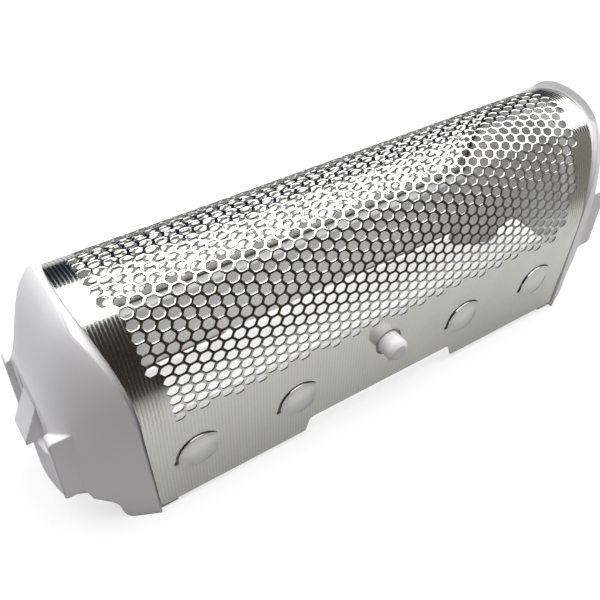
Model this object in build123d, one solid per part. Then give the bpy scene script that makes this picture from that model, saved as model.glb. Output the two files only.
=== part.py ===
from build123d import *
import os
from math import ceil, cos, pi, radians, sin, sqrt

# Shaver foil head: a perforated metal foil bent over a one-piece moulded frame.
# Millimetres. X runs along the head, -Y is the photographed side, +Z points to the crown of the arch.
# Z = 0 is the plane that the four feet of the frame stand on.

# Foil sheet
foil_half_width = 6.19      # outer face of the flat flanges, from the middle plane
foil_bottom = 0.5           # lower edge of the flanges above the feet
foil_height = 17.2          # lower edge of the flanges to the crown
foil_thickness = 0.15
crown_share = 0.8885        # outer radius of the top of the arch over the half width
crown_turn = 67.0           # degrees from the crown to where the wider flank radius begins
flange_half_length = 19.73  # end edge of the foil where the flange meets the flank
flange_lean = 0.38          # the end edge comes in by this much down to the lower edge
crown_overhang = 1.79       # the end edge runs out by this much up to the crown
corner_radius = 0.5         # lower corners of the flanges
notch_half_length = 7.3     # raised middle part of the lower edge
notch_slant = 0.4           # its sides come in by this much
notch_depth = 1.3
notch_radius = 0.4

# Hexagon field
hole_pitch = 1.0            # regular pitch along the head
hole_squeeze = 0.8          # pitch round the arch over the pitch along the head
hole_fill = 0.78            # opening across the flats over the pitch
hole_group = 4.0            # one modelled opening stands for this many etched holes each way
lattice_turn = 3.25         # degrees that the rows are turned against the head
field_margin = 1.5          # plain border at the ends of the foil
field_drop = 0.5            # lower limit of the field below the start of the flange

# Lanced tabs and peg holes in the flanges
tab_shares = (-0.811, -0.4, 0.4, 0.811)  # places along the flange, over its half length
tab_drop = 4.0              # middle of the tabs below the start of the flange
tab_radius = 1.45
tab_rise = 0.3              # how far the free edge of a tab is bent out
slit_width = 0.25
slit_drop = 0.45            # fold line of the tab below its middle
peg_drop = 2.6              # axis of the pegs below the start of the flange
peg_radius = 0.95
peg_stand_out = 1.4         # beyond the outer face of the foil
peg_hole_clearance = 0.25
peg_chamfer = 0.3

# Frame
seat_clearance = 0.04       # between the foil and the ledge or rail behind it
edge_clearance = 0.12       # between the end edge of the flange and the rim of the cheek
wall = 1.0                  # ledge, rail and cheek thickness
ledge_width = 1.3           # support under the end of the foil
rim_overhang = 2.0          # the rim runs out by this much above the flange
rim_drop = 1.0              # from this far below the crown the rim is upright
rim_stand_out = 0.55        # rim of the cheek above the crown of the foil
cheek_length = 4.92         # outer face of the cheek beyond the flange
cheek_taper = 0.454         # narrowing of the cheek sides per millimetre of length
cheek_root = 3.5            # below this height the sides of the cheek are upright
dome_rise = 1.85            # height that the top of the cheek rounds down to, above the start of the flange
dome_reach = 0.3            # the dome would close this far beyond the end wall
dome_squareness = 1.85      # how late the top of the cheek turns down
dome_fullness = 1.38        # how gently it ends
cheek_points = 3            # points on each half of a cheek section
cheek_stations = 4          # steps along the cheek
station_crowding = 1.3      # above 1 the steps are closer towards the end wall
hollow_inset = 3.4          # arch of the hollow at its far end, in from the foil
hollow_back = 1.4           # far end of the hollow, in from the end wall
rail_bottom = 1.95
rail_drop = 0.8             # top of the rails below the start of the flange
foot_length = 1.6           # the feet stop this far beyond the flange and the lower edge rises
step_length = 1.0           # length of the S-shaped step
step_height = 2.05
step_swing = 0.13           # each half of the S bows by this much
sill_length = 1.0           # sloping lower edge beyond the step
sill_height = 2.72
cheek_bottom = 3.5          # lower edge of the end wall

# Guide ribs and latch on each end, measured from the end wall where nothing else is said
rib_set_in = 1.74           # outer face of a rib, in from the outer face of the foil
rib_width = 0.95
rib_stand_out = 0.37
rib_root = 1.5              # the ribs start this deep in the wall
rib_bottom = 3.85
rib_top = 9.65
rib_round = 0.3
rib_foot_round = 0.25
lip_gap = 0.6               # between the lip and a rib
lip_stand_out = 0.63        # at the middle of the bow
lip_edge = 0.2              # at its two ends
lip_bottom = 2.2
nose_half_width = 1.1
nose_stand_out = 1.2
nose_bottom = 6.5
nose_point = 6.8
nose_top = 10.1
nose_land = 0.3             # the top of the nose ends this far inside the end wall
slot_width = 0.5
slot_top = 10.3

overrun = 2.0               # cutters run past the faces that they cut by this much


# Arch profile
crown_z = foil_bottom + foil_height
crown_radius = crown_share * foil_half_width
turn = radians(crown_turn)
flank_radius = (foil_half_width - crown_radius * sin(turn)) / (1 - sin(turn))
flank_z = crown_z - crown_radius * (1 - cos(turn)) - flank_radius * cos(turn)
crown_arc = crown_radius * turn
flank_arc = flank_radius * (pi / 2 - turn)

# Places that follow from it
crown_half_length = flange_half_length + crown_overhang
field_bottom = flank_z - field_drop
tab_positions = [share * flange_half_length for share in tab_shares]
tab_height = flank_z - tab_drop
peg_height = flank_z - peg_drop
seat = foil_thickness + seat_clearance
cheek_end = flange_half_length + cheek_length
dome_end = flank_z + dome_rise
rail_top = flank_z - rail_drop
rim_level = crown_z - rim_drop
foot_end = flange_half_length + foot_length
rib_outer = foil_half_width - rib_set_in
rib_inner = rib_outer - rib_width
lip_half_width = rib_inner - lip_gap
nose_end = cheek_end + nose_stand_out


def profile_point(angle, inset):
    """Point (y, z) on the arch, the given angle round from the crown, set in from the outer face."""
    side = 1 if angle >= 0 else -1
    a = abs(angle)
    if a <= turn:
        y = crown_radius * sin(a)
        z = crown_z - crown_radius * (1 - cos(a))
    else:
        y = crown_radius * sin(turn) + flank_radius * (sin(a) - sin(turn))
        z = flank_z + flank_radius * cos(a)
    return side * (y - inset * sin(a)), z - inset * cos(a)


def arch_face(inset, low):
    """Everything under the arch down to a level, as a face across the head."""
    stops = [-pi / 2, -turn, 0, turn, pi / 2]
    edges = []
    for a, b in zip(stops[:-1], stops[1:]):
        edges.append(ThreePointArc(profile_point(a, inset), profile_point((a + b) / 2, inset),
                                   profile_point(b, inset)))
    half = foil_half_width - inset
    edges.append(Polyline((half, flank_z), (half, low), (-half, low), (-half, flank_z)))
    return Plane.YZ * make_face(edges)


def arch_block(inset, low, half_length):
    """The arch as a solid along the head."""
    return extrude(arch_face(inset, low), amount=half_length, both=True)


def end_x(z, overhang, level):
    """Half length at a height: upright at the flange, an arc out to the overhang at a level, then upright."""
    top = level - flank_z
    radius = (top ** 2 + overhang ** 2) / (2 * overhang)
    rise = min(max(z - flank_z, 0), top)
    return flange_half_length + radius - sqrt(radius ** 2 - rise ** 2)


def flared_block(overhang, level, inset):
    """Solid that fills the head between two flared ends, moved in by inset and leaning in at the flange."""
    low = -overrun
    high = crown_z + overrun
    mid_z = (flank_z + level) / 2
    base = flange_half_length - inset
    mid = end_x(mid_z, overhang, level) - inset
    top = base + overhang
    foot = base - flange_lean * (flank_z - low) / (flank_z - foil_bottom)
    edges = [
        ThreePointArc((base, flank_z), (mid, mid_z), (top, level)),
        Polyline((top, level), (top, high), (-top, high), (-top, level)),
        ThreePointArc((-top, level), (-mid, mid_z), (-base, flank_z)),
        Polyline((-base, flank_z), (-foot, low), (foot, low), (base, flank_z)),
    ]
    return extrude(Plane.XZ * make_face(edges), amount=2 * foil_half_width, both=True)


def sheet_point(x, s):
    """Plane on the outer face of the foil at x and at arc length s from the crown, z axis outward."""
    side = 1 if s >= 0 else -1
    run = abs(s)
    if run <= crown_arc:
        a = run / crown_radius
        y, z = profile_point(a, 0)
    elif run <= crown_arc + flank_arc:
        a = turn + (run - crown_arc) / flank_radius
        y, z = profile_point(a, 0)
    else:
        a = pi / 2
        y, z = foil_half_width, flank_z - (run - crown_arc - flank_arc)
    return Plane(origin=(x, side * y, z), x_dir=(1, 0, 0), z_dir=(0, side * sin(a), cos(a)))


# Foil
def hexagon_tool(x, s):
    """Cutter for one opening of the field: a hexagon with points along the head."""
    plane = sheet_point(x, s)
    half = hole_fill * hole_pitch * hole_group / 2
    long = 2 * half / sqrt(3)
    low = half * hole_squeeze
    ring = [(long, 0), (long / 2, low), (-long / 2, low), (-long, 0), (-long / 2, -low), (long / 2, -low)]
    outline = plane * make_face(Polyline(*ring, close=True))
    return extrude(outline, amount=3 * foil_thickness, both=True)


def field_points():
    """Centres (x, s) of the openings that fit inside the margins of the foil."""
    step = hole_pitch * hole_group
    reach = ceil(2 * crown_half_length / step)
    turned = radians(lattice_turn)
    points = []
    for column in range(-reach, reach + 1):
        for row in range(-reach, reach + 1):
            along = column * step * sqrt(3) / 2
            across = (row + (column % 2) / 2) * step * hole_squeeze
            x = along * cos(turned) - across * sin(turned)
            s = along * sin(turned) + across * cos(turned)
            z = sheet_point(x, s).origin.Z
            room = end_x(z, crown_overhang, crown_z) - field_margin - step / sqrt(3)
            if z >= field_bottom + step * hole_squeeze / 2 and abs(x) <= room:
                points.append((x, s))
    return points


def flange_plane(x, z, side):
    """Plane on the outer face of a flange, z axis outward."""
    return Plane(origin=(x, side * foil_half_width, z), x_dir=(-side, 0, 0), z_dir=(0, side, 0))


def half_disc(x, side, radius):
    """Disc through a flange at a tab, cut off along the fold line of the tab."""
    upper = Pos(0, -slit_drop) * Rectangle(4 * radius, 4 * radius, align=(Align.CENTER, Align.MIN))
    return extrude(flange_plane(x, tab_height, side) * (Circle(radius) & upper), amount=overrun, both=True)


def tab_tongue(x, side):
    """Tab bent out of the flange along its fold line, thickness kept along Y."""
    fold = tab_height - slit_drop
    tip = fold + 2 * tab_radius
    out = side * (foil_half_width + tab_rise * (tip - fold) / (tab_radius + slit_drop))
    skin = side * foil_half_width
    inner = side * foil_thickness
    outline = Polyline((skin, fold), (out, tip), (out - inner, tip), (skin - inner, fold), close=True)
    strip = extrude(Plane.YZ.offset(x) * make_face(outline), amount=2 * tab_radius, both=True)
    return strip & half_disc(x, side, tab_radius)


def notch_tool():
    """Cutter for the raised middle part of both lower edges: slanted sides, rounded upper corners."""
    top = foil_bottom + notch_depth
    short = notch_half_length - notch_slant
    ring = [(notch_half_length, foil_bottom), (short, top), (-short, top), (-notch_half_length, foil_bottom)]
    face = make_face(Polyline(*ring, close=True))
    face = fillet(face.vertices().group_by(Axis.Y)[-1], notch_radius)
    return extrude(Plane.XZ * face, amount=2 * foil_half_width, both=True)


def build_foil():
    long = crown_half_length + overrun
    sheet = arch_block(0, foil_bottom, long) - arch_block(foil_thickness, -overrun, 2 * long)
    sheet = sheet & flared_block(crown_overhang, crown_z, 0)
    corners = sheet.edges().filter_by(Axis.Y).group_by(Axis.Z)[0]
    sheet = fillet(corners, corner_radius)
    sheet -= notch_tool()
    for side in (-1, 1):
        for x in tab_positions:
            sheet -= half_disc(x, side, tab_radius + slit_width)
            sheet += tab_tongue(x, side)
        hole = flange_plane(0, peg_height, side) * Cylinder(peg_radius + peg_hole_clearance, overrun)
        sheet -= hole
    sheet -= [hexagon_tool(x, s) for x, s in field_points()]
    return sheet


# Frame
def cheek_face(u):
    """Outline of the cheek across the head at distance u from the middle.

    The arch narrows along a straight taper and, past the rim, its top rounds over into the end wall.
    """
    low = (dome_end - cheek_root) / (crown_z - cheek_root)
    points = []
    for step in range(-cheek_points, cheek_points + 1):
        y, z = profile_point(pi / 2 * step / cheek_points, 0)
        past = u - edge_clearance - end_x(z, rim_overhang, rim_level)
        share = max(past, 0) / (past + cheek_end + dome_reach - u)
        lift = rim_stand_out * (z - flank_z) / (crown_z - flank_z)
        sink = low + (1 - low) * (1 - share ** dome_squareness) ** dome_fullness
        points.append((y * (1 - cheek_taper * past / foil_half_width),
                       cheek_root + (z + lift - cheek_root) * sink))
    (back_y, back_z), (front_y, front_z) = points[0], points[-1]
    arch = Spline(*points, tangents=[(0, 1), (0, -1)])
    sides = Polyline((front_y, front_z), (front_y, -foil_bottom), (back_y, -foil_bottom), (back_y, back_z))
    return Plane.YZ.offset(u) * make_face([arch, sides])


def arch_at(u, inset, low):
    """The arch as a face across the head at distance u."""
    return Location((u, 0, 0)) * arch_face(inset, low)


def cheek_shell():
    """Right cheek: rounded hood with the foil's seat let into it, hollow behind the ledge."""
    start = flange_half_length - ledge_width - wall
    stations = [cheek_end - (cheek_end - start) * (1 - k / cheek_stations) ** station_crowding
                for k in range(cheek_stations + 1)]
    hood = loft([cheek_face(u) for u in stations])
    hood -= lower_edge_cut()
    under_foil = arch_block(seat, -2 * overrun, 2 * cheek_end)
    hood -= flared_block(rim_overhang, rim_level, -edge_clearance) - under_foil
    hood -= flared_block(crown_overhang, crown_z, ledge_width)
    near = arch_at(start, seat + wall, -overrun)
    far = arch_at(cheek_end - hollow_back, hollow_inset, -overrun)
    return hood - loft([near, far], ruled=True)


def lower_edge_cut():
    """Cutter below the cheek: flat under the feet, an S-shaped step, a sloping sill, up to the end wall."""
    step_end = foot_end + step_length
    sill_end = step_end + sill_length
    far = nose_end + overrun
    chord = sqrt(step_length ** 2 + step_height ** 2)
    out = step_swing * step_height / chord
    down = step_swing * step_length / chord
    middle = (foot_end + step_length / 2, step_height / 2)
    lower = ThreePointArc((foot_end, 0), (foot_end + step_length / 4 + out, step_height / 4 - down), middle)
    upper = ThreePointArc(middle, (step_end - step_length / 4 - out, step_height * 3 / 4 + down),
                          (step_end, step_height))
    rest = Polyline((step_end, step_height), (sill_end, sill_height), (sill_end + wall / 4, cheek_bottom),
                    (far, cheek_bottom), (far, -overrun), (0, -overrun), (0, 0), (foot_end, 0))
    return extrude(Plane.XZ * make_face([lower, upper, rest]), amount=2 * foil_half_width, both=True)


def guide_rib(side):
    """Upright guide rib on the end wall with rounded outer corners."""
    root = cheek_end - rib_root
    end = cheek_end + rib_stand_out
    ring = [(root, rib_bottom), (end, rib_bottom), (end, rib_top), (root, rib_top)]
    face = make_face(Polyline(*ring, close=True))
    face = fillet(face.vertices().group_by(Axis.X)[-1].sort_by(Axis.Y)[-1], rib_round)
    face = fillet(face.vertices().sort_by(Axis.Y)[0:2].sort_by(Axis.X)[-1], rib_foot_round)
    middle = Plane.XZ.offset(-side * (rib_inner + rib_outer) / 2)
    return extrude(middle * face, amount=rib_width / 2, both=True)


def latch():
    """Bowed lip with the latch nose standing out above it."""
    root = cheek_end - wall
    edge = cheek_end + lip_edge
    bow = ThreePointArc((edge, -lip_half_width), (cheek_end + lip_stand_out, 0), (edge, lip_half_width))
    back = Polyline((edge, lip_half_width), (root, lip_half_width), (root, -lip_half_width),
                    (edge, -lip_half_width))
    lip = Pos(0, 0, lip_bottom) * extrude(make_face([bow, back]), amount=nose_bottom - lip_bottom)
    ramp = Polyline((root, nose_top), (cheek_end - nose_land, nose_top), (nose_end, nose_point),
                    (nose_end, nose_bottom), (root, nose_bottom), close=True)
    nose = extrude(Plane.XZ * make_face(ramp), amount=nose_half_width, both=True)
    return lip + nose


def latch_slots():
    """Cutters for the two slots beside the latch nose."""
    height = slot_top - nose_bottom
    place = nose_half_width + slot_width / 2
    slot = Box(4 * wall, slot_width, height, align=(Align.CENTER, Align.CENTER, Align.MIN))
    return [Pos(cheek_end, side * place, nose_bottom) * slot for side in (-1, 1)]


def build_frame():
    seat_y = foil_half_width - seat
    end = cheek_shell() - latch_slots()
    end = end + [guide_rib(-1), guide_rib(1), latch()]
    body = end + mirror(end, about=Plane.YZ)
    rail = Box(2 * flange_half_length, wall, rail_top - rail_bottom,
               align=(Align.CENTER, Align.MAX, Align.MIN))
    reach = wall / 2 + seat + peg_stand_out
    peg = Cylinder(peg_radius, reach, align=(Align.CENTER, Align.CENTER, Align.MIN))
    peg = chamfer(peg.edges().sort_by(Axis.Z)[-1], peg_chamfer)
    for side in (-1, 1):
        bar = Pos(0, seat_y, rail_bottom) * rail
        body += bar if side > 0 else mirror(bar, about=Plane.XZ)
        start = flange_plane(0, peg_height, side).offset(peg_stand_out - reach)
        body += start * peg
    return body


os.makedirs("parts", exist_ok=True)
export_step(build_foil(), "parts/foil.step")
export_step(build_frame(), "parts/frame.step")
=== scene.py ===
from math import acos, atan, cos, pi, radians, sin, sqrt, tan

import bpy
import numpy as np
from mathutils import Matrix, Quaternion, Vector
from mathutils.geometry import delaunay_2d_cdt


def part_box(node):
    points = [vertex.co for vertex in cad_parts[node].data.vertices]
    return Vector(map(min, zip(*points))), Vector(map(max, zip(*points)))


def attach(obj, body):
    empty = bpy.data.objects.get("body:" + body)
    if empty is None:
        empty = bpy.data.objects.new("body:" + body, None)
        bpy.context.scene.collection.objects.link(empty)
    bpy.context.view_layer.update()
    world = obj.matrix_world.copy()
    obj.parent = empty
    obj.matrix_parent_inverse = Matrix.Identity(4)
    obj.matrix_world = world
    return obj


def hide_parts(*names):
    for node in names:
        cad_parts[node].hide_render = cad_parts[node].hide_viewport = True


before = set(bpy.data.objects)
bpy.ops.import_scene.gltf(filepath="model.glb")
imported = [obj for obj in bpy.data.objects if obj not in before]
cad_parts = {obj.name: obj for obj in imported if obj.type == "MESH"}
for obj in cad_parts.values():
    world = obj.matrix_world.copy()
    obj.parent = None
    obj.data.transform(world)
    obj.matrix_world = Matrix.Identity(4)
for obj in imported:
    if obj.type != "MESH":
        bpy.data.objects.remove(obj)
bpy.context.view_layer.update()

bl_info = {
    "name": "Shaver foil head",
    "version": (1, 0, 0),
    "blender": (4, 5, 0),
    "location": "View3D > Sidebar > Foil head",
    "description": "Perforated foil, moulded frame and studio for a shaver foil head",
    "category": "Object",
}

MM = 0.001
FOIL_LOW, FOIL_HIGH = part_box("foil")
CAMERA_RAY, GLOSSY_RAY = "Is Camera Ray", "Is Glossy Ray"
FRAME_SIZE = 600            # side of the picture, in pixels
FOCAL_LENGTH = 773.67       # of the photograph's camera, in pixels


# Settings
class FoilSettings(bpy.types.PropertyGroup):
    """Sizes and finish of the perforated foil."""

    half_width: bpy.props.FloatProperty(
        name="Half width", description="Outer face of the flanges from the middle plane", default=6.19 * MM,
        unit="LENGTH")
    crown_radius: bpy.props.FloatProperty(
        name="Crown radius", description="Outer radius of the top of the arch", default=5.5 * MM,
        unit="LENGTH")
    crown_turn: bpy.props.FloatProperty(
        name="Crown turn", description="Angle from the crown to where the wider flank radius begins",
        default=radians(67), subtype="ANGLE")
    flange_half_length: bpy.props.FloatProperty(
        name="Flange half length", description="End edge of the foil where the flange meets the flank",
        default=19.73 * MM, unit="LENGTH")
    flange_lean: bpy.props.FloatProperty(
        name="Flange lean", description="How far the end edge comes in down to the lower edge",
        default=0.38 * MM, unit="LENGTH")
    corner_radius: bpy.props.FloatProperty(
        name="Corner radius", description="Lower corners of the flanges", default=0.5 * MM, unit="LENGTH")
    notch_half_length: bpy.props.FloatProperty(
        name="Notch half length", description="Raised middle part of the lower edge", default=7.3 * MM,
        unit="LENGTH")
    notch_slant: bpy.props.FloatProperty(
        name="Notch slant", description="How far the sides of the notch come in", default=0.4 * MM,
        unit="LENGTH")
    notch_depth: bpy.props.FloatProperty(
        name="Notch depth", description="Height of the raised part", default=1.3 * MM, unit="LENGTH")
    notch_radius: bpy.props.FloatProperty(
        name="Notch radius", description="Upper corners of the notch", default=0.4 * MM, unit="LENGTH")
    sheet_thickness: bpy.props.FloatProperty(
        name="Sheet thickness", description="Thickness of the foil", default=0.1 * MM, unit="LENGTH")
    hole_pitch: bpy.props.FloatProperty(
        name="Hole pitch", description="Pitch of the hexagon holes along the head", default=1.0 * MM,
        unit="LENGTH")
    hole_squeeze: bpy.props.FloatProperty(
        name="Hole squeeze", description="Pitch round the arch over the pitch along the head",
        default=0.7988, subtype="FACTOR")
    lattice_turn: bpy.props.FloatProperty(
        name="Lattice turn", description="Turn of the rows against the head", default=radians(3.25),
        subtype="ANGLE")
    lattice_start: bpy.props.FloatVectorProperty(
        name="Lattice start", description="One hole's place along the head and round the arch", size=2,
        default=(-18.51 * MM, 2.85 * MM), unit="LENGTH")
    opening: bpy.props.FloatProperty(
        name="Opening", description="Size of an opening over its cell", default=0.77, subtype="FACTOR")
    flat_bar: bpy.props.FloatProperty(
        name="Flat bar", description="Flat top of the bars over the pitch", default=0.12, subtype="FACTOR")
    rim_depth: bpy.props.FloatProperty(
        name="Rim depth", description="How far the sloped rim of a hole goes down", default=0.031 * MM,
        unit="LENGTH")
    field_reach: bpy.props.FloatProperty(
        name="Field reach", description="Arc from the crown to the last row of holes", default=12.15 * MM,
        unit="LENGTH")
    field_half_length: bpy.props.FloatProperty(
        name="Field half length", description="End of the field at the crown", default=20.02 * MM,
        unit="LENGTH")
    field_taper: bpy.props.FloatProperty(
        name="Field taper", description="Shortening of the field per length of arc", default=0.2235,
        subtype="FACTOR")
    tab_places: bpy.props.FloatVectorProperty(
        name="Tab places", description="Distances of the lanced tabs from the middle", size=2,
        default=(7.9 * MM, 16.0 * MM), unit="LENGTH")
    tab_height: bpy.props.FloatProperty(
        name="Tab height", description="Middle of the tabs above the feet", default=4.5 * MM, unit="LENGTH")
    button_radius: bpy.props.FloatProperty(
        name="Button radius", description="Radius of the pressed button on a tab", default=1.42 * MM,
        unit="LENGTH")
    button_rise: bpy.props.FloatProperty(
        name="Button rise", description="How far the button stands out", default=0.28 * MM, unit="LENGTH")
    tab_radius: bpy.props.FloatProperty(
        name="Tab radius", description="Inner radius of the slit over a tab", default=1.72 * MM,
        unit="LENGTH")
    tab_rise: bpy.props.FloatProperty(
        name="Tab rise", description="How far the cut edge of a tab stands out", default=0.1 * MM,
        unit="LENGTH")
    slit_width: bpy.props.FloatProperty(
        name="Slit width", description="Width of the slit at its open end", default=0.17 * MM,
        unit="LENGTH")
    slit_turns: bpy.props.FloatVectorProperty(
        name="Slit turns", description="Angles at which the slit starts and ends", size=2,
        default=(radians(38), radians(190)), unit="ROTATION")
    peg_height: bpy.props.FloatProperty(
        name="Peg height", description="Axis of the peg holes above the feet", default=6.21 * MM,
        unit="LENGTH")
    peg_hole_radius: bpy.props.FloatProperty(
        name="Peg hole radius", description="Radius of the holes for the pegs", default=1.2 * MM,
        unit="LENGTH")
    stripe_pitch: bpy.props.FloatProperty(
        name="Stripe pitch", description="Pitch of the fine lines round the arch", default=0.25 * MM,
        unit="LENGTH")
    colour: bpy.props.FloatVectorProperty(
        name="Metal colour", description="Colour of the nickel", subtype="COLOR",
        default=(0.68, 0.68, 0.645))
    # Painted shade: a darker, bluer grey on the buttons stands for the darker reflection of their tilted
    # faces.
    button_shade: bpy.props.FloatVectorProperty(
        name="Button colour", description="Colour of the shade-painted buttons", subtype="COLOR",
        default=(0.6, 0.6, 0.605))
    roughness: bpy.props.FloatProperty(
        name="Roughness", description="Roughness of the metal", default=0.1, subtype="FACTOR")


class FrameSettings(bpy.types.PropertyGroup):
    """Finish of the moulded frame."""

    colour: bpy.props.FloatVectorProperty(
        name="Plastic colour", description="Colour of the white plastic", subtype="COLOR",
        default=(0.86, 0.85, 0.855))
    roughness: bpy.props.FloatProperty(
        name="Roughness", description="Roughness of the plastic", default=0.42, subtype="FACTOR")
    edge_round: bpy.props.FloatProperty(
        name="Edge round", description="Radius of the softened edges", default=0.26 * MM, unit="LENGTH")
    grain: bpy.props.FloatProperty(
        name="Grain", description="Size of the fine mould grain", default=0.12 * MM, unit="LENGTH")


class StageSettings(bpy.types.PropertyGroup):
    """Camera, light and floor."""

    camera_place: bpy.props.FloatVectorProperty(
        name="Camera place", description="Where the camera stands", size=3,
        default=(-28.385 * MM, -35.382 * MM, 48.191 * MM), unit="LENGTH")
    camera_aim: bpy.props.FloatVectorProperty(
        name="Camera aim", description="Direction that the camera looks in", size=3,
        default=(0.41371, 0.59727, -0.6871), subtype="DIRECTION")
    camera_roll: bpy.props.FloatProperty(
        name="Camera roll", description="Turn of the camera about its view", default=radians(1.66),
        subtype="ANGLE")
    camera_angle: bpy.props.FloatProperty(
        name="Camera angle", description="Width of the view",
        default=2 * atan(FRAME_SIZE / 2 / FOCAL_LENGTH), subtype="ANGLE")
    floor_colour: bpy.props.FloatVectorProperty(
        name="Floor colour", description="Colour of the floor", subtype="COLOR", default=(0.36, 0.36, 0.36))
    floor_white: bpy.props.FloatProperty(
        name="Floor white", description="White that the camera sees on the floor beside its shade",
        default=0.66, subtype="FACTOR")
    floor_mirror: bpy.props.FloatProperty(
        name="Floor mirror", description="Grey of the floor in reflections", default=0.53, subtype="FACTOR")
    sheet_size: bpy.props.FloatVectorProperty(
        name="Sheet size",
        description="Length and width of the white sheet that lights the inside of the head", size=2,
        default=(38 * MM, 11 * MM), unit="LENGTH")
    sheet_colour: bpy.props.FloatVectorProperty(
        name="Sheet colour", description="Colour of the sheet", subtype="COLOR", default=(0.95, 0.95, 0.95))
    shade_reach: bpy.props.FloatProperty(
        name="Shade reach", description="Beyond this the floor turns white to the camera", default=0.1,
        unit="LENGTH")
    floor_size: bpy.props.FloatProperty(
        name="Floor size", description="Side of the floor", default=1.6, unit="LENGTH")
    softbox_height: bpy.props.FloatProperty(
        name="Softbox height", description="Height of the lamp over the floor", default=0.35, unit="LENGTH")
    softbox_place: bpy.props.FloatVectorProperty(
        name="Softbox place", description="Middle of the lamp over the floor", size=2, default=(0.11, 0.04),
        unit="LENGTH")
    softbox_size: bpy.props.FloatVectorProperty(
        name="Softbox size", description="Length and width of the lamp", size=2, default=(0.76, 0.4),
        unit="LENGTH")
    softbox_power: bpy.props.FloatProperty(
        name="Softbox power", description="Power of the lamp", default=3.7, unit="POWER")
    card_place: bpy.props.FloatVectorProperty(
        name="Card place", description="Place in front of the head and height of the cards", size=2,
        default=(-30 * MM, 55 * MM), unit="LENGTH")
    # Painted shadow: in reflections the floor is drawn darker near the cards, over this reach.
    card_shadow_reach: bpy.props.FloatProperty(
        name="Card shade", description="Reach of the dark that the card throws on the floor in reflections",
        default=11 * MM, unit="LENGTH")
    card_end: bpy.props.FloatProperty(
        name="Card end", description="Where the dark card ends and the pale one starts", default=34 * MM,
        unit="LENGTH")
    card_colour: bpy.props.FloatVectorProperty(
        name="Card colour", description="Colour of the dark card", subtype="COLOR",
        default=(0.045, 0.034, 0.032))
    pale_colour: bpy.props.FloatVectorProperty(
        name="Pale colour", description="Colour of the pale card", subtype="COLOR",
        default=(0.28, 0.28, 0.25))
    fill_place: bpy.props.FloatVectorProperty(
        name="Fill place", description="Where the fill lamp stands", size=3, default=(0.26, -0.15, 0.12),
        unit="LENGTH")
    fill_size: bpy.props.FloatVectorProperty(
        name="Fill size", description="Length and width of the fill lamp", size=2, default=(0.14, 0.14),
        unit="LENGTH")
    fill_power: bpy.props.FloatProperty(
        name="Fill power", description="Power of the fill lamp", default=0.06, unit="POWER")
    room_colour: bpy.props.FloatVectorProperty(
        name="Room colour", description="Tint of the dim room", subtype="COLOR", default=(0.25, 0.42, 1.0))
    room_light: bpy.props.FloatProperty(
        name="Room light", description="Strength of the dim light from the room", default=0.04,
        subtype="FACTOR")


def settings():
    """The three groups of settings on the scene."""
    scene = bpy.context.scene
    return scene.foil_head_foil, scene.foil_head_frame, scene.foil_head_stage


# Shader expressions
class Value:
    """A socket that can be used in plain arithmetic; each operation adds one Math node."""

    def __init__(self, nodes, socket):
        self.nodes = nodes
        self.socket = socket

    def math(self, operation, *terms):
        inputs = {i: term for i, term in enumerate(terms)}
        return self.nodes.add("ShaderNodeMath", {"operation": operation}, inputs)

    def __add__(self, other):
        return self.math("ADD", self, other)

    def __radd__(self, other):
        return self.math("ADD", other, self)

    def __sub__(self, other):
        return self.math("SUBTRACT", self, other)

    def __rsub__(self, other):
        return self.math("SUBTRACT", other, self)

    def __mul__(self, other):
        return self.math("MULTIPLY", self, other)

    def __rmul__(self, other):
        return self.math("MULTIPLY", other, self)

    def __pow__(self, other):
        return self.math("POWER", self, other)

    def sine(self):
        return self.math("SINE", self)

    def absolute(self):
        return self.math("ABSOLUTE", self)

    def clamped(self):
        return self.math("MINIMUM", self.math("MAXIMUM", self, 0.0), 1.0)


class Nodes:
    """A node tree with one way to add a node."""

    def __init__(self, tree):
        self.tree = tree
        tree.nodes.clear()

    def add(self, kind, options=None, inputs=None, output=0):
        """Adds a node, sets its options first, then gives each input a value or a link."""
        node = self.tree.nodes.new(kind)
        for name, value in (options or {}).items():
            setattr(node, name, value)
        for key, value in (inputs or {}).items():
            if isinstance(value, Value):
                self.tree.links.new(value.socket, node.inputs[key])
            else:
                node.inputs[key].default_value = value
        return Value(self, node.outputs[output]) if node.outputs else node

    def place(self, axis=None):
        """Object coordinates, or one axis of them."""
        point = self.add("ShaderNodeTexCoord", output=3)
        if axis is None:
            return point
        return self.add("ShaderNodeSeparateXYZ", inputs={0: point}, output=axis)

    def noise(self, size, detail=3.0, roughness=0.5):
        """Noise with features of the given size."""
        return self.add("ShaderNodeTexNoise", inputs={
            "Vector": self.place(), "Scale": 1 / size, "Detail": detail, "Roughness": roughness})

    def ray(self, kind):
        """1 for rays of a kind, 0 for others."""
        return self.add("ShaderNodeLightPath", output=kind)

    def mix_colour(self, share, first, second):
        """Blend of two colours."""
        inputs = {"Factor": share, 6: first, 7: second}
        return self.add("ShaderNodeMix", {"data_type": "RGBA"}, inputs, output=2)

    def matt(self, colour):
        """Plain matt surface."""
        return self.add("ShaderNodeBsdfDiffuse", inputs={"Color": (*colour, 1)})

    def shine(self, colour=(1, 1, 1), strength=1.0):
        """Surface that shines evenly."""
        return self.add("ShaderNodeEmission", inputs={"Color": (*colour, 1), "Strength": strength})

    def blend(self, share, first, second):
        """Blend of two surfaces."""
        return self.add("ShaderNodeMixShader", inputs={0: share, 1: first, 2: second})

    def finish(self, surface, output="ShaderNodeOutputMaterial"):
        """Sends a surface to the output."""
        self.add(output, inputs={"Surface": surface})


def new_material(name):
    """An empty node material and its nodes."""
    material = bpy.data.materials.new(name)
    material.use_nodes = True
    return material, Nodes(material.node_tree)


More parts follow.
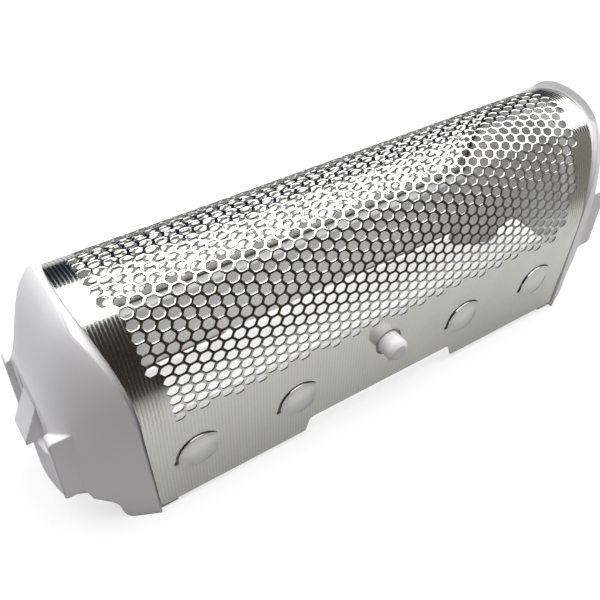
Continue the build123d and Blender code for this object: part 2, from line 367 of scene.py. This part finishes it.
# Finish of the nickel
WAVER_SIZE = 1.1 * MM       # features of the wander of the fine lines
WAVER_TURN = 1.2            # how far they wander, in radians of their pitch
PLAIN_END = 17.6 * MM       # the lines grow stronger beyond this place along the head
PLAIN_GAIN = 1.1 / MM
FLANGE_TOP = 8.0 * MM       # and above this height
FLANGE_GAIN = 0.5 / MM
LINE_FLOOR = 0.4            # strength of the lines elsewhere
LINE_HEIGHT = 0.8           # share of the lines in the bump, beside the grain
BUTTON_EDGE = 6.0           # steepness of the border of a button
BUTTON_RUB = 0.85           # share of the lines that a button has lost
BUTTON_SHADE_SHARE = 0.7           # share of the painted button shade over the metal colour
CLOUD_SIZE = 2.2 * MM
CLOUD_SHARE = 0.3           # share of the dull colour that the clouds bring
GRAIN_SIZE = 0.06 * MM
SPECK_SIZE = 0.16 * MM      # breaks in the lines
DULL = (0.56, 0.55, 0.47)   # dull colour over the metal colour
ROUGH_LINES, ROUGH_CLOUD, ROUGH_GRAIN = 0.18, 0.05, 0.03


def button_mask(nodes, foil):
    """1 on the pressed buttons and 0 beside them, from the squared distance to the middle of the tabs."""
    along = nodes.place(0).absolute()
    up = nodes.place(2) - foil.tab_height
    mask = 0.0
    for place in foil.tab_places:
        off = along - place
        inside = 1 - (off * off + up * up) * (1 / foil.button_radius ** 2)
        mask = mask + (inside * BUTTON_EDGE).clamped()
    return mask


def nickel_foil_material():
    """Electroformed nickel: satin metal with fine lines round the arch, strongest on the plain ends; the
    buttons get a painted shade.
    """
    foil = settings()[0]
    material, nodes = new_material("nickel_foil")
    x = nodes.place(0)
    waver = nodes.noise(WAVER_SIZE, detail=2.0)
    lines = ((x * (2 * pi / foil.stripe_pitch) + waver * WAVER_TURN).sine() * 0.5 + 0.5) ** 2.0
    ends = ((x.absolute() - PLAIN_END) * PLAIN_GAIN).clamped()
    ends = ends * ((nodes.place(2) - FLANGE_TOP) * FLANGE_GAIN).clamped()
    button = button_mask(nodes, foil)
    strength = (ends * (1 - LINE_FLOOR) + LINE_FLOOR) * (1 - button * BUTTON_RUB)
    cloud = nodes.noise(CLOUD_SIZE, detail=4.0)
    grain = nodes.noise(GRAIN_SIZE, detail=2.0)
    speck = nodes.noise(SPECK_SIZE, detail=1.0)
    dull = tuple(c * share for c, share in zip(foil.colour, DULL))
    tarnish = (cloud * CLOUD_SHARE + lines * (strength * speck)).clamped()
    colour = nodes.mix_colour(tarnish, (*foil.colour, 1), (*dull, 1))
    # Painted shade: the buttons are blended towards the darker button grey.
    colour = nodes.mix_colour(button * BUTTON_SHADE_SHARE, colour, (*foil.button_shade, 1))
    relief = lines * strength * LINE_HEIGHT + grain * (1 - LINE_HEIGHT)
    bump = nodes.add("ShaderNodeBump", inputs={"Height": relief, "Strength": 0.4, "Distance": 0.015 * MM})
    rough = foil.roughness + lines * ends * ROUGH_LINES + cloud * ROUGH_CLOUD + grain * ROUGH_GRAIN
    surface = nodes.add("ShaderNodeBsdfPrincipled", inputs={
        "Base Color": colour, "Metallic": 1.0, "Roughness": rough, "Normal": bump})
    nodes.finish(surface)
    return material


# Finish of the plastic
FLOW_SIZE = 6 * MM          # faint flow marks of the moulding
FLOW_SHARE = 0.8            # how far they show
FLOW_SHADE = 0.93           # their colour over the plain one
FLOW_ROUGH = 0.1


def white_plastic_material():
    """Smooth white moulding compound: slightly translucent, with a fine grain and faint flow marks."""
    frame_part = settings()[1]
    material, nodes = new_material("white_plastic")
    flow = nodes.noise(FLOW_SIZE, detail=3.0)
    grain = nodes.noise(frame_part.grain, detail=2.0)
    shade = tuple(FLOW_SHADE * c for c in frame_part.colour)
    colour = nodes.mix_colour((flow * FLOW_SHARE).clamped(), (*frame_part.colour, 1), (*shade, 1))
    soft = nodes.add("ShaderNodeBevel", {"samples": 6}, {"Radius": frame_part.edge_round})
    bump = nodes.add("ShaderNodeBump", inputs={
        "Height": grain, "Strength": 0.12, "Distance": 0.02 * MM, "Normal": soft})
    surface = nodes.add("ShaderNodeBsdfPrincipled", inputs={
        "Base Color": colour, "Roughness": frame_part.roughness + flow * FLOW_ROUGH, "Normal": bump,
        "Subsurface Weight": 0.08, "Subsurface Radius": (1.0, 1.0, 1.0), "Subsurface Scale": 0.3 * MM})
    nodes.finish(surface)
    return material


# Foil surface, in millimetres on the unrolled sheet
LATTICE_COLUMNS = (-6, 56)  # range of cells that covers the field, about the lattice's start
LATTICE_ROWS = (-70, 40)
CORNER_TURN = 0.13          # half of the turn that the cut corner of a hole takes, in radians
BAR_DROP = 0.002            # edge of a bar's flat top below its middle
END_STEPS, EDGE_STEPS, NOTCH_STEPS = 60, 24, 12  # points along the parts of the outline
CORNER_START = 1.5          # the end edge stops this many corner radii above the lower edge
GRID_REACH = (21.7, 20.2)   # half of the grid on the plain sheet, along the head and round the arch
GRID_STEP = (0.62, 0.4)
GRID_GAP = 0.15             # room between the grid and the end edges and peg holes
NOTCH_GAP = 0.2             # and the notches
CELL_GAP = 1.3              # and the middle of a hole, over half of its pitch
DISC_RADII = (0.2, 2.1, 0.15)  # rings of points on a tab: first, limit and step
DISC_SPOKES = 36
DISC_REACH = 2.2            # room between the grid and the middle of a tab
PEG_STEPS = 32              # points round a peg hole
PEG_CHORD = 0.01            # how far the straight sides between them may lie inside the circle
SLIT_STEPS = 40             # points along a slit
SLIT_GAP = 0.08             # room between the rings and the slit
SLIT_LEAST = 0.01           # least width of a slit
SLIT_TIP = 0.35             # width towards the point of a slit, over the width at its open end
SLIT_POINT = 1 / 8          # length of the point, over that of the slit
BULB_TURN = radians(6)      # size of the round open end, as an angle about the tab
BULB_PLACE = 0.8            # its middle from the end, in such sizes
BULB_WIDTH = 0.8            # what it adds to the width, over the width at the open end
FLAP_FADE = radians(25)     # the flap fades over this angle at the ends of its slit
FLAP_END = 0.4              # height left at its open end, over its full height
FLAP_OVER = 1.002           # reach of the flap over the tab's radius
SHARP_ANGLE = radians(20)   # edges that turn by more stay crisp
MERGE = 1e-5                # points of the plain sheet that are nearer than this are one
BORDER_DIGITS, WELD_DIGITS = 4, 3  # decimals to which points of the field, or of all, have to agree


class Sheet:
    """The unrolled foil: x along the head, s round the arch from the crown, positive towards the front."""

    def __init__(self, foil):
        self.width = foil.half_width / MM
        self.crown_radius = foil.crown_radius / MM
        self.turn = foil.crown_turn
        self.crown_z = FOIL_HIGH.z / MM
        self.bottom_z = FOIL_LOW.z / MM
        self.crown_half_length = FOIL_HIGH.x / MM
        self.flange_half_length = foil.flange_half_length / MM
        self.lean = foil.flange_lean / MM
        side = sin(self.turn)
        self.flank_radius = (self.width - self.crown_radius * side) / (1 - side)
        drop = self.crown_radius * (1 - cos(self.turn))
        self.flank_z = self.crown_z - drop - self.flank_radius * cos(self.turn)
        self.crown_arc = self.crown_radius * self.turn
        self.flank_arc = self.flank_radius * (pi / 2 - self.turn)
        self.edge_s = self.crown_arc + self.flank_arc + self.flank_z - self.bottom_z

    def section(self, s):
        """Angle from the crown, distance from the middle plane and height at arc length s, all as arrays.

        Two tangent arcs and a straight flange: the crown radius up to the crown turn, then the flank radius
        up to a right angle, then straight down.
        """
        run = np.abs(s)
        angle = np.where(run <= self.crown_arc, run / self.crown_radius,
                         self.turn + (run - self.crown_arc) / self.flank_radius)
        angle = np.minimum(angle, pi / 2)
        crown = angle <= self.turn
        side = self.crown_radius * sin(self.turn) + self.flank_radius * (np.sin(angle) - sin(self.turn))
        y = np.where(crown, self.crown_radius * np.sin(angle), side)
        z = np.where(crown, self.crown_z - self.crown_radius * (1 - np.cos(angle)),
                     self.flank_z + self.flank_radius * np.cos(angle))
        z = z - np.maximum(run - self.crown_arc - self.flank_arc, 0)
        return angle, y, z

    def roll(self, x, s, h):
        """Points of the sheet in space, h out from the outer face along its normal."""
        angle, y, z = self.section(s)
        front = np.where(s >= 0, -1.0, 1.0)
        return np.column_stack([x, front * (y + h * np.sin(angle)), z + h * np.cos(angle)])

    def end_x(self, s):
        """Half length at arc length s: an arc out from the flange to the crown, a lean down the flange."""
        z = self.section(s)[2]
        top = self.crown_z - self.flank_z
        reach = self.crown_half_length - self.flange_half_length
        radius = (top ** 2 + reach ** 2) / (2 * reach)
        rise = np.clip(z - self.flank_z, 0, top)
        fall = np.maximum(self.flank_z - z, 0) / (self.flank_z - self.bottom_z)
        return self.flange_half_length + radius - np.sqrt(radius ** 2 - rise ** 2) - self.lean * fall

    def arc_at(self, z):
        """Arc length from the crown to a height on the flange."""
        return self.crown_arc + self.flank_arc + self.flank_z - z


class HoleLattice:
    """Hexagon cells on the unrolled sheet: a regular lattice squeezed round the arch and slightly turned."""

    def __init__(self, foil):
        c, s = cos(foil.lattice_turn), sin(foil.lattice_turn)
        k = foil.hole_squeeze
        pitch = foil.hole_pitch / MM
        self.start = np.array(foil.lattice_start) / MM
        self.to_sheet = pitch * np.array([[c, k * s], [-s, k * c]])
        self.reach = foil.field_reach / MM
        self.half_length = foil.field_half_length / MM
        self.taper = foil.field_taper
        corner = np.arange(6) * pi / 3
        self.corners = np.column_stack([np.cos(corner), np.sin(corner)]) / sqrt(3)

    def sheet(self, points):
        """Lattice coordinates to the sheet."""
        return points @ self.to_sheet.T + self.start

    def centres(self):
        """Centres of the cells inside the field, in lattice coordinates."""
        columns, rows = np.meshgrid(np.arange(*LATTICE_COLUMNS), np.arange(*LATTICE_ROWS), indexing="ij")
        points = np.column_stack([(columns * sqrt(3) / 2).ravel(), (rows + columns / 2).ravel()])
        x, s = self.sheet(points).T
        inside = (np.abs(s) <= self.reach) & (np.abs(x) <= self.half_length - self.taper * np.abs(s))
        return points[inside]

    def nearest(self, centres, points):
        """Hexagon distance of sheet points to the nearest centre, 1 on a cell's border."""
        local = (points - self.start) @ np.linalg.inv(self.to_sheet).T
        delta = local[:, None, :] - centres[None, :, :]
        flats = np.arange(3) * pi / 3 + pi / 6
        across = np.abs(delta @ np.array([np.cos(flats), np.sin(flats)]))
        return across.max(axis=2).min(axis=1) * 2


def rounded_corner(before, corner, after, radius, steps=7):
    """Arc that is tangent to both sides of a corner, turned from one tangent point to the other."""
    before, corner, after = (np.asarray(p, float) for p in (before, corner, after))
    a = (before - corner) / np.linalg.norm(before - corner)
    b = (after - corner) / np.linalg.norm(after - corner)
    half = acos(a @ b) / 2
    centre = corner + (a + b) / np.linalg.norm(a + b) * radius / sin(half)
    first = corner + a * radius / tan(half) - centre
    last = corner + b * radius / tan(half) - centre
    sweep = pi - 2 * half
    t = np.linspace(0, 1, steps)[:, None]
    return centre + (np.sin((1 - t) * sweep) * first + np.sin(t * sweep) * last) / sin(sweep)


def run_between(first, last, count):
    """Points strictly between two ends of a straight run."""
    t = np.linspace(0, 1, count + 2)[1:-1, None]
    return np.asarray(first) * (1 - t) + np.asarray(last) * t


def outline(sheet, foil):
    """Closed outline of the unrolled foil.

    Flared ends, rounded corners and a slanted notch in each lower edge: one quarter, mirrored twice.
    """
    edge = sheet.edge_s
    low = sheet.flange_half_length - sheet.lean
    notch = foil.notch_half_length / MM
    short = notch - foil.notch_slant / MM
    top = edge - foil.notch_depth / MM
    s = np.linspace(0, edge - CORNER_START * foil.corner_radius / MM, END_STEPS)
    end = np.column_stack([sheet.end_x(s), s])
    corner = rounded_corner(end[-1], (low, edge), (notch, edge), foil.corner_radius / MM)
    foot = rounded_corner((low, edge), (notch, edge), (short, top), foil.notch_radius / MM / 2)
    bend = rounded_corner((notch, edge), (short, top), (0, top), foil.notch_radius / MM)
    half = np.vstack([end, corner, run_between(corner[-1], foot[0], EDGE_STEPS), foot, bend,
                      run_between(bend[-1], (0, top), NOTCH_STEPS), [(0, top)]])
    front = np.vstack([half, half[::-1][1:] * (-1, 1)])
    back = front[::-1][1:-1] * (1, -1)
    return np.vstack([front, back])


def ring(centre, radius, count):
    """Closed circle of points."""
    a = np.linspace(0, 2 * pi, count, endpoint=False)
    return np.asarray(centre) + radius * np.column_stack([np.cos(a), np.sin(a)])


def loop_edges(start, count):
    """Edges round a closed loop of consecutive points."""
    index = np.arange(count)
    return np.column_stack([start + index, start + (index + 1) % count])


def tab_centres(sheet, foil):
    """Centres of the eight tabs on the sheet, with the direction of the crown for each."""
    s = sheet.arc_at(foil.tab_height / MM)
    places = np.array(foil.tab_places) / MM
    x = np.concatenate([-places, places])
    front = np.column_stack([x, np.full(4, s), np.full(4, -1.0)])
    return np.vstack([front, front * (1, -1, -1)])


def slit_width_at(turn, foil):
    """Width of a slit at an angle: a straight taper that ends in a point, and a bell-shaped open end."""
    first, last = foil.slit_turns
    t = np.clip((turn - first) / (last - first), 0, 1)
    point = np.minimum(1, t / SLIT_POINT) ** 0.5
    bulb = BULB_WIDTH * np.exp(-((1 - t) * (last - first) / BULB_TURN - BULB_PLACE) ** 2)
    return foil.slit_width / MM * ((SLIT_TIP + (1 - SLIT_TIP) * t) * point + bulb) + SLIT_LEAST


def slit_outline(tab, foil):
    """Crescent slit over a tab: an inner arc about its middle, and an outer one at the slit's width."""
    turn = np.linspace(*foil.slit_turns, SLIT_STEPS)
    arc = np.array([np.cos(turn), np.sin(turn)])
    inner = foil.tab_radius / MM
    outer = inner + slit_width_at(turn, foil)
    points = np.hstack([outer * arc, inner * arc[:, ::-1]]).T
    return tab[:2] + points * (-tab[2], tab[2])


def tab_polar(points, tabs):
    """Distance and angle of sheet points about each tab, seen from outside with the crown above."""
    delta = points[:, None, :] - tabs[None, :, :2]
    across = -delta[:, :, 0] * tabs[None, :, 2]
    up = delta[:, :, 1] * tabs[None, :, 2]
    return np.hypot(across, up), np.arctan2(up, across) % (2 * pi)


def tab_bulge(points, tabs, foil):
    """Height of the tabs: a round button, and a flap that rises from the middle of the tab to the slit."""
    r, turn = tab_polar(points, tabs)
    button = foil.button_rise * np.maximum(1 - (r * MM / foil.button_radius) ** 2, 0)
    first, last = foil.slit_turns
    share = np.clip((turn - first) / FLAP_FADE, 0, 1) * np.clip((last - turn) / FLAP_FADE + FLAP_END, 0, 1)
    flap = foil.tab_rise * share * np.clip(r * MM / foil.tab_radius, 0, 1) ** 2
    flap = np.where(r * MM <= foil.tab_radius * FLAP_OVER, flap, 0)
    return (np.maximum(button, flap) / MM).max(axis=1)


def in_slit(points, tabs, foil):
    """True where a point lies in a slit."""
    r, turn = tab_polar(points, tabs)
    first, last = foil.slit_turns
    gap = r - foil.tab_radius / MM
    inside = (gap > 0) & (gap < slit_width_at(turn, foil)) & (turn > first) & (turn < last)
    return inside.any(axis=1)


def disc_points(foil):
    """Rings of points about the middle of a tab, clear of its slit."""
    radii = np.arange(*DISC_RADII)
    angles = np.arange(DISC_SPOKES) * 2 * pi / DISC_SPOKES
    disc = np.column_stack([np.outer(radii, np.cos(angles)).ravel(), np.outer(radii, np.sin(angles)).ravel()])
    off = np.hypot(disc[:, 0], disc[:, 1]) - foil.tab_radius / MM
    return disc[(off < -SLIT_GAP) | (off > foil.slit_width / MM + SLIT_GAP)]


def on_sheet(sheet, foil, points, end_gap, notch_gap, peg_gap):
    """True where a point lies off the end edges, the notches and the peg holes by the gap of each."""
    x, s = np.abs(points).T
    low = s > sheet.edge_s - foil.notch_depth / MM - notch_gap
    notch = x < foil.notch_half_length / MM + notch_gap
    peg = np.hypot(x, s - sheet.arc_at(foil.peg_height / MM)) <= foil.peg_hole_radius / MM + peg_gap
    return (x < sheet.end_x(s) - end_gap) & ~(low & notch) & ~peg


def grid_points(sheet, lattice, foil, centres, tabs):
    """Even grid on the plain part of the sheet, clear of its edges, the holes and the tabs."""
    steps = [np.arange(-reach, reach + step / 2, step) for reach, step in zip(GRID_REACH, GRID_STEP)]
    x, s = np.meshgrid(*steps, indexing="ij")
    grid = np.column_stack([x.ravel(), s.ravel()])
    far = tab_polar(grid, tabs)[0].min(axis=1) > DISC_REACH
    grid = grid[far & on_sheet(sheet, foil, grid, GRID_GAP, NOTCH_GAP, GRID_GAP)]
    return grid[lattice.nearest(centres, grid) > CELL_GAP]


def plain_sheet(sheet, lattice, foil, centres, border, border_edges):
    """Points and triangles of the sheet outside the hole field.

    A constrained triangulation of the outline, the zigzag border of the field, the peg holes and the slits,
    over a grid that is finer round the tabs.
    """
    tabs = tab_centres(sheet, foil)
    peg_s = sheet.arc_at(foil.peg_height / MM)
    pegs = [ring((0, side * peg_s), foil.peg_hole_radius / MM, PEG_STEPS) for side in (-1, 1)]
    loops = [outline(sheet, foil), *pegs] + [slit_outline(tab, foil) for tab in tabs]
    disc = disc_points(foil)
    discs = [tab[:2] + disc for tab in tabs]
    points = np.vstack([border, *loops, grid_points(sheet, lattice, foil, centres, tabs), *discs])
    edges = [border_edges]
    start = len(border)
    for loop in loops:
        edges.append(loop_edges(start, len(loop)))
        start += len(loop)
    edges = np.vstack(edges).tolist()
    found = delaunay_2d_cdt([Vector(p) for p in points.tolist()], edges, [], 0, MERGE)
    points = np.array([tuple(p) for p in found[0]])
    triangles = np.array(found[2])
    middle = points[triangles].mean(axis=1)
    keep = on_sheet(sheet, foil, middle, 0, 0, -PEG_CHORD) & (np.abs(middle[:, 1]) < sheet.edge_s)
    keep &= (lattice.nearest(centres, middle) > 1) & ~in_slit(middle, tabs, foil)
    return points, triangles[keep], tabs


def hole_cells(lattice, centres, foil):
    """Points and faces of the cells: six corners, a flat bar, and a rim that slopes down to the opening.

    The rim is a hexagon with cut corners, so twelve points, carried from the edge of the bar to the opening.
    """
    count = len(centres)
    corner_turn = np.repeat(np.arange(6) * pi / 3, 2) + np.tile([-CORNER_TURN, CORNER_TURN], 6)
    size = 0.5 / np.cos(np.abs((corner_turn + pi / 6) % (pi / 3) - pi / 6) - pi / 6)
    rim = size[:, None] * np.column_stack([np.cos(corner_turn), np.sin(corner_turn)])
    ridge = (centres[:, None, :] + lattice.corners[None]).reshape(-1, 2)
    outer = (centres[:, None, :] + (1 - foil.flat_bar) * rim[None]).reshape(-1, 2)
    inner = (centres[:, None, :] + foil.opening * rim[None]).reshape(-1, 2)
    points = lattice.sheet(np.vstack([ridge, outer, inner]))
    heights = np.concatenate([np.zeros(6 * count), np.full(12 * count, -BAR_DROP),
                              np.full(12 * count, -foil.rim_depth / MM)])
    cell = np.arange(count)[:, None]
    j = np.arange(6)[None]
    a = 6 * cell + j
    b = 6 * cell + (j + 1) % 6
    first = 6 * count + 12 * cell + 2 * j
    second = first + 1
    following = 6 * count + 12 * cell + (2 * j + 2) % 12
    tips = np.stack([a, second, first], axis=2).reshape(-1, 3)
    bars = np.stack([a, b, following, second], axis=2).reshape(-1, 4)
    k = np.arange(12)[None]
    p = 6 * count + 12 * cell + k
    q = 6 * count + 12 * cell + (k + 1) % 12
    rims = np.stack([p, q, q + 12 * count, p + 12 * count], axis=2).reshape(-1, 4)
    return points, heights, tips, np.vstack([bars, rims])


def field_border(points, count):
    """Unique ridge corners of the cells, and the edges that only one cell has."""
    ridge = np.round(points[:6 * count], BORDER_DIGITS)
    unique, inverse = np.unique(ridge, axis=0, return_inverse=True)
    loops = inverse.reshape(count, 6)
    edges = np.stack([loops, np.roll(loops, -1, axis=1)], axis=2).reshape(-1, 2)
    edges, times = np.unique(np.sort(edges, axis=1), axis=0, return_counts=True)
    edges = edges[times == 1]
    used, edges = np.unique(edges, return_inverse=True)
    return unique[used], edges.reshape(-1, 2)


def welded(points, heights, faces):
    """Points merged where they coincide on the sheet, with the faces pointing to them."""
    key = np.round(np.column_stack([points, heights]), WELD_DIGITS)
    unique, first, inverse = np.unique(key, axis=0, return_index=True, return_inverse=True)
    return points[first], heights[first], [inverse.reshape(-1)[f] for f in faces]


def mesh_object(name, points, faces, material):
    """A smooth mesh piece from points in millimetres and arrays of faces, at the origin."""
    mesh = bpy.data.meshes.new(name)
    mesh.from_pydata((points * MM).tolist(), [], [f for group in faces for f in group.tolist()])
    mesh.validate()
    mesh.polygons.foreach_set("use_smooth", np.ones(len(mesh.polygons), bool))
    mesh.materials.append(material)
    piece = bpy.data.objects.new(name, mesh)
    bpy.context.scene.collection.objects.link(piece)
    return piece


def finish_edges(piece, angle):
    """Applies the modifiers of a piece and keeps edges sharper than the angle crisp."""
    graph = bpy.context.evaluated_depsgraph_get()
    mesh = bpy.data.meshes.new_from_object(piece.evaluated_get(graph))
    piece.modifiers.clear()
    piece.data = mesh
    mesh.set_sharp_from_angle(angle=angle)


# Operators
class OBJECT_OT_foil_head_foil(bpy.types.Operator):
    """Build the perforated foil and let it stand for the plain one"""

    bl_idname = "object.foil_head_foil"
    bl_label = "Perforated foil"

    def execute(self, context):
        foil = settings()[0]
        sheet = Sheet(foil)
        lattice = HoleLattice(foil)
        centres = lattice.centres()
        cell_points, cell_heights, tips, bars = hole_cells(lattice, centres, foil)
        border, border_edges = field_border(cell_points, len(centres))
        flat_points, triangles, tabs = plain_sheet(sheet, lattice, foil, centres, border, border_edges)
        flat_heights = tab_bulge(flat_points, tabs, foil)
        points = np.vstack([cell_points, flat_points])
        heights = np.concatenate([cell_heights, flat_heights])
        points, heights, faces = welded(points, heights, [tips, bars, triangles + len(cell_points)])
        solid = sheet.roll(points[:, 0], points[:, 1], heights)
        faces = [f[:, ::-1] for f in faces]
        piece = mesh_object("foil_sheet", solid, faces, nickel_foil_material())
        wall = piece.modifiers.new("thickness", "SOLIDIFY")
        wall.thickness = foil.sheet_thickness
        wall.offset = -1
        finish_edges(piece, SHARP_ANGLE)
        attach(piece, "root")
        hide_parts("foil")
        return {"FINISHED"}


class OBJECT_OT_foil_head_frame(bpy.types.Operator):
    """Finish the moulded frame"""

    bl_idname = "object.foil_head_frame"
    bl_label = "Moulded frame"

    def execute(self, context):
        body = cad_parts["frame"]
        body.data.materials.clear()
        body.data.materials.append(white_plastic_material())
        return {"FINISHED"}


# Stage
SHEET_EDGE = 1 * MM         # soft border of the white sheet
CARD_SHADOW_GREY = 0.3             # painted shadow of the cards: grey of the floor at the cards in reflections, over that further off
CARD_REACH = 0.3            # ends of the cards, from the middle of the head
WHITE_FADE = 0.1            # rate at which the floor turns white past the shade's reach, in its square


class OBJECT_OT_foil_head_stage(bpy.types.Operator):
    """Set up the floor, the light and the camera"""

    bl_idname = "object.foil_head_stage"
    bl_label = "Studio"

    def execute(self, context):
        stage = settings()[2]
        self.floor(stage)
        self.cards(stage)
        self.lamps(stage)
        self.world(stage)
        self.camera(stage)
        context.scene.view_settings.view_transform = "Standard"
        return {"FINISHED"}

    def plane(self, name, corners, material):
        """A flat stage piece from its corners."""
        mesh = bpy.data.meshes.new(name)
        mesh.from_pydata(corners, [], [tuple(range(len(corners)))])
        mesh.materials.append(material)
        piece = bpy.data.objects.new(name, mesh)
        bpy.context.scene.collection.objects.link(piece)
        return piece

    def floor(self, stage):
        """Matt floor under the feet, which the camera sees near white with the shadow of the head on it.

        Reflections show it grey, with a painted shadow of the cards that darkens it towards them. Other light
        meets a darker floor, with a white sheet under the head.
        """
        material, nodes = new_material("pale_floor")
        x, y = nodes.place(0), nodes.place(1)
        length, width = stage.sheet_size
        under = ((length / 2 - x.absolute()) * (1 / SHEET_EDGE)).clamped()
        under = under * ((width / 2 - y.absolute()) * (1 / SHEET_EDGE)).clamped()
        plain = nodes.blend(under, nodes.matt(stage.floor_colour), nodes.matt(stage.sheet_colour))
        # Painted shadow of the cards on the floor, seen only in reflections.
        out_of_card_shadow = ((y - stage.card_place[0]) * (1 / stage.card_shadow_reach)).clamped()
        grey = (stage.floor_mirror,) * 3
        dark = tuple(CARD_SHADOW_GREY * c for c in grey)
        mirrored = nodes.blend(out_of_card_shadow, nodes.matt(dark), nodes.matt(grey))
        faint = tuple((1 - stage.floor_white) * c / max(stage.floor_colour) for c in stage.floor_colour)
        shown = nodes.add("ShaderNodeAddShader", inputs={
            0: nodes.matt(faint), 1: nodes.shine(strength=stage.floor_white)})
        reach = stage.shade_reach ** 2
        away = ((x * x + y * y - reach) * (WHITE_FADE / reach)).clamped()
        shown = nodes.blend(away, shown, nodes.shine())
        rest = nodes.blend(nodes.ray(GLOSSY_RAY), plain, mirrored)
        nodes.finish(nodes.blend(nodes.ray(CAMERA_RAY), rest, shown))
        half = stage.floor_size / 2
        corners = [(-half, -half, 0), (half, -half, 0), (half, half, 0), (-half, half, 0)]
        self.plane("floor", corners, material)

    def cards(self, stage):
        """Low cards in front of the head that the camera doesn't see: a dark one, a pale one to its right."""
        self.card(stage, "dark_card", -CARD_REACH, stage.card_end, stage.card_colour)
        self.card(stage, "pale_card", stage.card_end, CARD_REACH, stage.pale_colour)

    def card(self, stage, name, left, right, colour):
        """One standing card that shines evenly in its own colour."""
        material, nodes = new_material(name)
        nodes.finish(nodes.shine(colour))
        y, top = stage.card_place
        card = self.plane(name, [(left, y, 0), (right, y, 0), (right, y, top), (left, y, top)], material)
        card.visible_camera = False
        card.visible_shadow = False
        card.visible_transmission = False

    def lamps(self, stage):
        """Wide softbox over the head, and a weak fill from the front right that reflections don't show."""
        place = (*stage.softbox_place, stage.softbox_height)
        self.lamp("softbox", place, stage.softbox_size, stage.softbox_power)
        fill = self.lamp("fill", stage.fill_place, stage.fill_size, stage.fill_power)
        fill.rotation_euler = (-Vector(stage.fill_place)).to_track_quat("-Z", "Y").to_euler()
        fill.visible_glossy = False

    def lamp(self, name, place, size, power):
        """One rectangular lamp."""
        data = bpy.data.lights.new(name, "AREA")
        data.shape = "RECTANGLE"
        data.size, data.size_y = size
        data.energy = power
        piece = bpy.data.objects.new(name, data)
        piece.location = place
        bpy.context.scene.collection.objects.link(piece)
        return piece

    def world(self, stage):
        """Dim room that the camera sees as white."""
        world = bpy.data.worlds.new("studio")
        world.use_nodes = True
        nodes = Nodes(world.node_tree)
        room = nodes.add("ShaderNodeBackground", inputs={
            "Color": (*stage.room_colour, 1), "Strength": stage.room_light})
        white = nodes.add("ShaderNodeBackground", inputs={"Color": (1, 1, 1, 1), "Strength": 1.0})
        nodes.finish(nodes.blend(nodes.ray(CAMERA_RAY), room, white), "ShaderNodeOutputWorld")
        bpy.context.scene.world = world

    def camera(self, stage):
        """Camera at the photograph's viewpoint."""
        data = bpy.data.cameras.new("camera")
        data.angle = stage.camera_angle
        data.clip_start = 1 * MM
        piece = bpy.data.objects.new("camera", data)
        piece.rotation_mode = "QUATERNION"
        turn = Vector(stage.camera_aim).to_track_quat("-Z", "Y")
        piece.rotation_quaternion = turn @ Quaternion((0, 0, 1), stage.camera_roll)
        piece.location = stage.camera_place
        bpy.context.scene.collection.objects.link(piece)
        bpy.context.scene.camera = piece


class VIEW3D_PT_foil_head(bpy.types.Panel):
    """Sidebar panel with the steps"""

    bl_idname = "VIEW3D_PT_foil_head"
    bl_label = "Foil head"
    bl_space_type = "VIEW_3D"
    bl_region_type = "UI"
    bl_category = "Foil head"

    def draw(self, context):
        for operator in OPERATORS:
            self.layout.operator(operator.bl_idname)


OPERATORS = (OBJECT_OT_foil_head_foil, OBJECT_OT_foil_head_frame, OBJECT_OT_foil_head_stage)
CLASSES = (FoilSettings, FrameSettings, StageSettings, *OPERATORS, VIEW3D_PT_foil_head)


def register():
    for cls in CLASSES:
        bpy.utils.register_class(cls)
    bpy.types.Scene.foil_head_foil = bpy.props.PointerProperty(type=FoilSettings)
    bpy.types.Scene.foil_head_frame = bpy.props.PointerProperty(type=FrameSettings)
    bpy.types.Scene.foil_head_stage = bpy.props.PointerProperty(type=StageSettings)


def unregister():
    del bpy.types.Scene.foil_head_foil
    del bpy.types.Scene.foil_head_frame
    del bpy.types.Scene.foil_head_stage
    for cls in reversed(CLASSES):
        bpy.utils.unregister_class(cls)


def main():
    register()
    bpy.ops.object.foil_head_foil()
    bpy.ops.object.foil_head_frame()
    bpy.ops.object.foil_head_stage()


if __name__ == "__main__":
    main()
